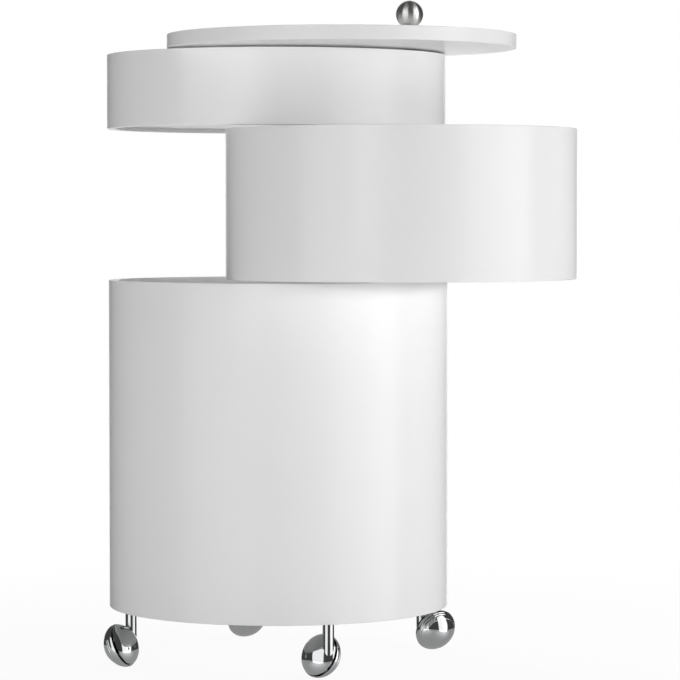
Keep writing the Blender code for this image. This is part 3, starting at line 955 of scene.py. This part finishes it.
class TROLLEY_OT_castor_hoods(bpy.types.Operator):
    """Model the hoods of the castors, each with its swivel barrel"""

    bl_idname = "trolley.castor_hoods"
    bl_label = "Castor hoods"

    def execute(self, context):
        sizes = context.scene.trolley_castors
        model = self.model(sizes)
        for side in SIDES:
            hood = copy_of(model, side + "_ball_hood")
            settle(hood, swivel_place(side))
            dress(hood, "chrome", side + "_castor", "castor_" + side + "_hood")
        bpy.data.objects.remove(model)
        return {"FINISHED"}

    def model(self, sizes):
        """Model one hood about its swivel axis: a leaning dome joined to an upright barrel."""
        place = swivel_place("front").inverted() @ wheel_place("front")
        centre = place.translation
        normal = (place.to_3x3() @ Vector((0, 0, 1))).normalized()
        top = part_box("castor_front_hood")[1].z
        face = sizes.hood_face
        dome_top = sizes.hood_dome
        skin = dome(sizes.hood_radius, dome_top, sizes.fullness, face, dome_top, sizes.steps)
        socket = [(sizes.axle_bore, sizes.axle_in_hood), (sizes.axle_bore, face)]
        profile = socket + skin[:-1] + [(0, dome_top)]
        hood = turned("hood_model", profile, sizes.facets)
        settle(hood, place)
        foot = centre.z - sizes.barrel_sink
        barrel = turned("barrel", [(sizes.barrel_radius, foot), (sizes.barrel_radius, top)], sizes.facets)
        round_edges(barrel, sizes.edge_round)
        bpy.ops.object.mode_set(mode="EDIT")
        bpy.ops.mesh.select_all(action="SELECT")
        clip = centre + normal * (face + sizes.barrel_inset)
        bpy.ops.mesh.bisect(plane_co=clip, plane_no=normal, use_fill=True, clear_inner=True)
        bpy.ops.mesh.select_all(action="SELECT")
        bpy.ops.mesh.normals_make_consistent(inside=False)
        bpy.ops.object.mode_set(mode="OBJECT")
        combine(hood, barrel, "UNION")
        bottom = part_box("castor_front_stem")[0].z - sizes.stem_gap
        radius = sizes.stem_radius + sizes.stem_gap
        bore = turned("stem_bore", [(radius, bottom), (radius, top + OVERCUT)], sizes.facets // 2)
        combine(hood, bore, "DIFFERENCE")
        smooth(hood)
        return hood


class TROLLEY_OT_castor_fittings(bpy.types.Operator):
    """Model the stems and threaded inserts of the castors, and finish their axles"""

    bl_idname = "trolley.castor_fittings"
    bl_label = "Castor fittings"

    def execute(self, context):
        sizes = context.scene.trolley_castors
        gap = context.scene.trolley_drums.panel_gap
        for part, profile in (("stem", self.stem(sizes)), ("insert", self.insert(sizes, gap))):
            model = turned(part + "_model", profile, sizes.facets // 2)
            round_edges(model, sizes.edge_round)
            smooth(model)
            for side in SIDES:
                fitting = copy_of(model, side + "_ball_" + part)
                settle(fitting, Matrix.Translation(joint(side + "_castor_swivel")["pos_m"]))
                dress(fitting, "zinc_steel", "base", "castor_" + side + "_" + part)
            bpy.data.objects.remove(model)
        for side in SIDES:
            axle = frame["nodes"]["castor_" + side + "_axle"]
            axle.material_slots[0].material = finish(*FINISHES["zinc_steel"])
        return {"FINISHED"}

    def stem(self, sizes):
        """List the profile of a stem: a pin that the barrel turns on, a collar and a thread."""
        low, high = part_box("castor_front_stem")
        collar = low.z + sizes.stem_length
        return [
            (sizes.stem_radius, low.z),
            (sizes.stem_radius, collar - sizes.stem_collar),
            (sizes.barrel_radius, collar - sizes.stem_collar),
            (sizes.barrel_radius, collar),
            (sizes.thread_radius, collar),
            (sizes.thread_radius, high.z),
        ]

    def insert(self, sizes, gap):
        """List the profile of an insert: a blind bore from below, a brim and a body in the floor."""
        low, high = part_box("castor_front_insert")
        bore = sizes.thread_radius + gap
        brim_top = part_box("base_floor")[0].z - gap
        return [
            (bore, high.z - sizes.insert_blind),
            (bore, low.z),
            (sizes.insert_brim, low.z),
            (sizes.insert_brim, brim_top),
            (sizes.insert_radius, brim_top),
            (sizes.insert_radius, high.z),
        ]


# Lamps round the trolley stand at one distance and height and are aimed at its middle, the one on
# the floor is aimed straight up, and cards hang nearer
LAMP_DISTANCE = 3.4
LAMP_HEIGHT = 0.62
LAMP_AIM = 0.37
STRAIGHT_UP = 50.0
CARD_DISTANCE = 2.4
CARD_HEIGHT = 1.1

# Lamps light what they shine on, and nothing mirrors them. Each row gives width and height,
# distance, degrees from the camera's side, height above the floor and the height of its aim
LAMPS = {
    "key": ((3.0, 0.3), LAMP_DISTANCE, 65, LAMP_HEIGHT, LAMP_AIM),
    "fill": ((3.4, 0.3), LAMP_DISTANCE, -38, LAMP_HEIGHT, LAMP_AIM),
    "front": ((1.7, 0.3), LAMP_DISTANCE, -16, LAMP_HEIGHT, LAMP_AIM),
    "left_rim": ((1.2, 0.3), LAMP_DISTANCE, -95, LAMP_HEIGHT, LAMP_AIM),
    "right_rim": ((1.2, 0.3), LAMP_DISTANCE, 118, LAMP_HEIGHT, LAMP_AIM),
    "behind": ((1.4, 0.3), LAMP_DISTANCE, 178, LAMP_HEIGHT, LAMP_AIM),
    "top": ((1.4, 1.4), 0.3, 125, 2.9, LAMP_AIM),
    "bounce": ((2.0, 0.7), 0.62, 5, 0.03, STRAIGHT_UP),
}

# Cards light nothing, and gloss and metal mirror them. Their rows are as the lamps' are
CARDS = {
    "key_card": ((2.2, 3.4), CARD_DISTANCE, 60, CARD_HEIGHT, CARD_HEIGHT),
    "key_strip": ((0.9, 3.4), CARD_DISTANCE, 69, CARD_HEIGHT, CARD_HEIGHT),
    "fill_card": ((2.2, 3.4), CARD_DISTANCE, -38, CARD_HEIGHT, CARD_HEIGHT),
}


def around(distance, bearing):
    """Find a place round the base's axis, at a bearing in degrees from the camera's side."""
    turn = math.radians(bearing)
    return distance * math.sin(turn), -distance * math.cos(turn)


def floor_paint(tree, settings):
    """Matt pale paint, white to the eye but for the trolley's soft shadow on it."""
    paint = add_node(
        tree,
        "ShaderNodeBsdfPrincipled",
        {"Base Color": (*settings.floor, 1), "Roughness": 0.9, "Specular IOR Level": 0.0},
    )
    white = add_node(tree, "ShaderNodeEmission", {"Color": (*settings.background, 1), "Strength": 1.0})
    place = add_node(tree, "ShaderNodeTexCoord", {}).outputs["Object"]
    away = add_node(tree, "ShaderNodeVectorMath", {"operation": "LENGTH"}, {0: place})
    whiteness = add_node(
        tree,
        "ShaderNodeMapRange",
        {
            "interpolation_type": "SMOOTHSTEP",
            "From Min": settings.shadow_start,
            "From Max": settings.shadow_reach,
            "To Min": 1 - settings.shadow_seen,
        },
        {"Value": away.outputs["Value"]},
    )
    path = add_node(tree, "ShaderNodeLightPath", {})
    share = add_node(
        tree,
        "ShaderNodeMath",
        {"operation": "MULTIPLY"},
        {0: path.outputs["Is Camera Ray"], 1: whiteness.outputs["Result"]},
    )
    return add_node(
        tree,
        "ShaderNodeMixShader",
        {},
        {0: share.outputs["Value"], 1: paint.outputs["BSDF"], 2: white.outputs["Emission"]},
    )


def wool_with_painted_glow(tree, settings):
    """Dark matt wool with a faint painted glow: emission that stands in for the studio's light on it."""
    return add_node(
        tree,
        "ShaderNodeBsdfPrincipled",
        {
            "Base Color": (*settings.screen, 1),
            "Roughness": 0.95,
            "Specular IOR Level": 0.0,
            "Emission Strength": settings.screen_painted_glow,
        },
    )


def painted_glow_ground(tree, settings, height):
    """Matt paint on the ground below the floor, lit by painted light: a painted glow all over that stands
    in for the lit floor, brightest in a painted pool of light at the feet of the two large cards.
    """
    place = add_node(tree, "ShaderNodeTexCoord", {}).outputs["Object"]
    away = [
        add_node(
            tree,
            "ShaderNodeVectorMath",
            {"operation": "DISTANCE", 1: (*around(*CARDS[card][1:3]), height)},
            {0: place},
        ).outputs["Value"]
        for card in ("key_card", "fill_card")
    ]
    nearest = add_node(tree, "ShaderNodeMath", {"operation": "MINIMUM"}, dict(enumerate(away)))
    # Painted light: the ground's emission, a painted pool of light at the cards' feet fading to a painted
    # glow farther off
    glow = add_node(
        tree,
        "ShaderNodeMapRange",
        {
            "interpolation_type": "SMOOTHSTEP",
            "From Max": settings.painted_pool_spread,
            "To Min": settings.painted_pool_light,
            "To Max": settings.painted_glow_far,
        },
        {"Value": nearest.outputs["Value"]},
    )
    return add_node(
        tree,
        "ShaderNodeBsdfPrincipled",
        {"Base Color": (*settings.screen, 1), "Roughness": 0.95, "Specular IOR Level": 0.0},
        {"Emission Strength": glow.outputs["Result"]},
    )


class TROLLEY_OT_stage(bpy.types.Operator):
    """Set the studio: floor, backdrop, lamps and camera"""

    bl_idname = "trolley.stage"
    bl_label = "Studio"

    def execute(self, context):
        settings = context.scene.trolley_stage
        self.floor(settings)
        self.screen(settings)
        self.world(context, settings)
        for name, lamp in LAMPS.items():
            self.lamp(name, getattr(settings, name), *lamp)
        for name, card in CARDS.items():
            self.lamp(name, getattr(settings, name), *card, mirrored=True)
        self.camera(context, settings)
        context.scene.view_settings.view_transform = "Standard"
        return {"FINISHED"}

    def floor(self, settings):
        """Lay the pale floor, which the metal doesn't mirror."""
        bpy.ops.object.select_all(action="DESELECT")
        bpy.ops.mesh.primitive_plane_add(size=settings.floor_size, location=(0, 0, 0))
        floor = bpy.context.object
        floor.name = "studio_floor"
        floor.data.materials.append(finish("pale_floor_paint", floor_paint, settings))
        floor.visible_glossy = False

    def screen(self, settings):
        """Hang a dark cloth round the studio and over it, open at the back and unseen by the camera.

        Its pale ground lies below the floor. The metal mirrors it in the floor's stead, so that
        Its ground lies below the floor and glows with painted light, brightest in a painted pool of light
        at the cards' feet.
        The metal mirrors it in the floor's stead, so that upright metal shows the cloth and the lamps down
        to their feet.
        """
        depth = settings.screen_top + settings.ground_depth
        bpy.ops.object.select_all(action="DESELECT")
        bpy.ops.mesh.primitive_cylinder_add(
            vertices=settings.screen_facets,
            radius=settings.screen_radius,
            depth=depth,
            location=(0, 0, settings.screen_top - depth / 2),
        )
        screen = bpy.context.object
        screen.name = "studio_screen"
        # The cloth glows with painted light, and the ground below the floor with a painted glow and pool of
        # light
        screen.data.materials.append(finish("dark_wool_cloth", wool_with_painted_glow, settings))
        screen.data.materials.append(finish("pale_ground_paint", painted_glow_ground, settings, -depth / 2))
        bpy.ops.object.mode_set(mode="EDIT")
        bpy.ops.mesh.select_mode(type="FACE")
        bpy.ops.mesh.select_all(action="DESELECT")
        bpy.ops.object.mode_set(mode="OBJECT")
        for face in screen.data.polygons:
            bearing = math.atan2(face.center.x, face.center.y)
            upright = not round(face.normal.z)
            face.select = upright and abs(bearing - settings.gap_bearing) < settings.gap_width / 2
            face.material_index = int(not upright and face.center.z < 0)
        bpy.ops.object.mode_set(mode="EDIT")
        bpy.ops.mesh.delete(type="FACE")
        bpy.ops.mesh.select_mode(type="VERT")
        bpy.ops.object.mode_set(mode="OBJECT")
        screen.visible_camera = False

    def world(self, context, settings):
        """Show a white backdrop to the camera, the metal and glass, and let it light the room."""
        world = bpy.data.worlds.new("studio")
        world.use_nodes = True
        context.scene.world = world
        tree = world.node_tree
        tree.nodes.clear()
        white = (*settings.background, 1)
        room = add_node(tree, "ShaderNodeBackground", {"Color": white, "Strength": settings.room_light})
        backdrop = add_node(tree, "ShaderNodeBackground", {"Color": white, "Strength": 1.0})
        path = add_node(tree, "ShaderNodeLightPath", {})
        mirrored = add_node(
            tree,
            "ShaderNodeMath",
            {"operation": "MAXIMUM"},
            {0: path.outputs["Is Glossy Ray"], 1: path.outputs["Is Transmission Ray"]},
        )
        seen = add_node(
            tree,
            "ShaderNodeMath",
            {"operation": "MAXIMUM"},
            {0: path.outputs["Is Camera Ray"], 1: mirrored.outputs["Value"]},
        )
        mix = add_node(
            tree,
            "ShaderNodeMixShader",
            {},
            {0: seen.outputs["Value"], 1: room.outputs["Background"], 2: backdrop.outputs["Background"]},
        )
        add_node(tree, "ShaderNodeOutputWorld", {}, {"Surface": mix.outputs["Shader"]})

    def lamp(self, name, watts, size, distance, bearing, height, aim, mirrored=False):
        """Hang a soft lamp at a bearing from the camera's side, or a card that is only mirrored."""
        target = Vector((0, 0, aim))
        place = Vector((*around(distance, bearing), height))
        bpy.ops.object.select_all(action="DESELECT")
        bpy.ops.object.light_add(
            type="AREA", location=place, rotation=(target - place).to_track_quat("-Z", "Y").to_euler()
        )
        lamp = bpy.context.object
        lamp.name = name + "_lamp"
        lamp.data.shape = "RECTANGLE"
        lamp.data.size, lamp.data.size_y = size
        lamp.data.energy = watts
        lamp.visible_camera = False
        lamp.visible_diffuse = not mirrored
        lamp.visible_glossy = mirrored

    def camera(self, context, settings):
        """Stand the camera where the photograph was taken from."""
        bpy.ops.object.camera_add(
            location=(0, -settings.camera_distance, settings.camera_height),
            rotation=(math.pi / 2 - settings.camera_pitch, 0, -settings.camera_yaw),
        )
        camera = bpy.context.object
        camera.data.lens = settings.camera_lens
        context.scene.camera = camera


OPERATORS = (
    TROLLEY_OT_drum_walls,
    TROLLEY_OT_drum_floors,
    TROLLEY_OT_lid,
    TROLLEY_OT_post,
    TROLLEY_OT_sleeves,
    TROLLEY_OT_washers,
    TROLLEY_OT_ball,
    TROLLEY_OT_flange_screws,
    TROLLEY_OT_castor_wheels,
    TROLLEY_OT_castor_hoods,
    TROLLEY_OT_castor_fittings,
    TROLLEY_OT_stage,
)


class TROLLEY_PT_sidebar(bpy.types.Panel):
    """List the trolley's sizes and finishes, and the steps that model it."""

    bl_idname = "TROLLEY_PT_sidebar"
    bl_label = "Serving trolley"
    bl_space_type = "VIEW_3D"
    bl_region_type = "UI"
    bl_category = "Trolley"

    def draw(self, context):
        for pointer, group in GROUPS.items():
            box = self.layout.box()
            for key in group.__annotations__:
                box.prop(getattr(context.scene, pointer), key)
        for operator in OPERATORS:
            self.layout.operator(operator.bl_idname)


CLASSES = (*GROUPS.values(), *OPERATORS, TROLLEY_PT_sidebar)


def register():
    """Register the classes, and keep the settings in the scene."""
    for item in CLASSES:
        bpy.utils.register_class(item)
    for pointer, group in GROUPS.items():
        setattr(bpy.types.Scene, pointer, PointerProperty(type=group))


def unregister():
    """Take the settings and the classes away again."""
    for pointer in GROUPS:
        delattr(bpy.types.Scene, pointer)
    for item in reversed(CLASSES):
        bpy.utils.unregister_class(item)


def main():
    """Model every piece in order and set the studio."""
    register()
    bpy.ops.trolley.drum_walls()
    bpy.ops.trolley.drum_floors()
    bpy.ops.trolley.lid()
    bpy.ops.trolley.post()
    bpy.ops.trolley.sleeves()
    bpy.ops.trolley.washers()
    bpy.ops.trolley.ball()
    bpy.ops.trolley.flange_screws()
    bpy.ops.trolley.castor_wheels()
    bpy.ops.trolley.castor_hoods()
    bpy.ops.trolley.castor_fittings()
    bpy.ops.trolley.stage()


if __name__ == "__main__":
    main()
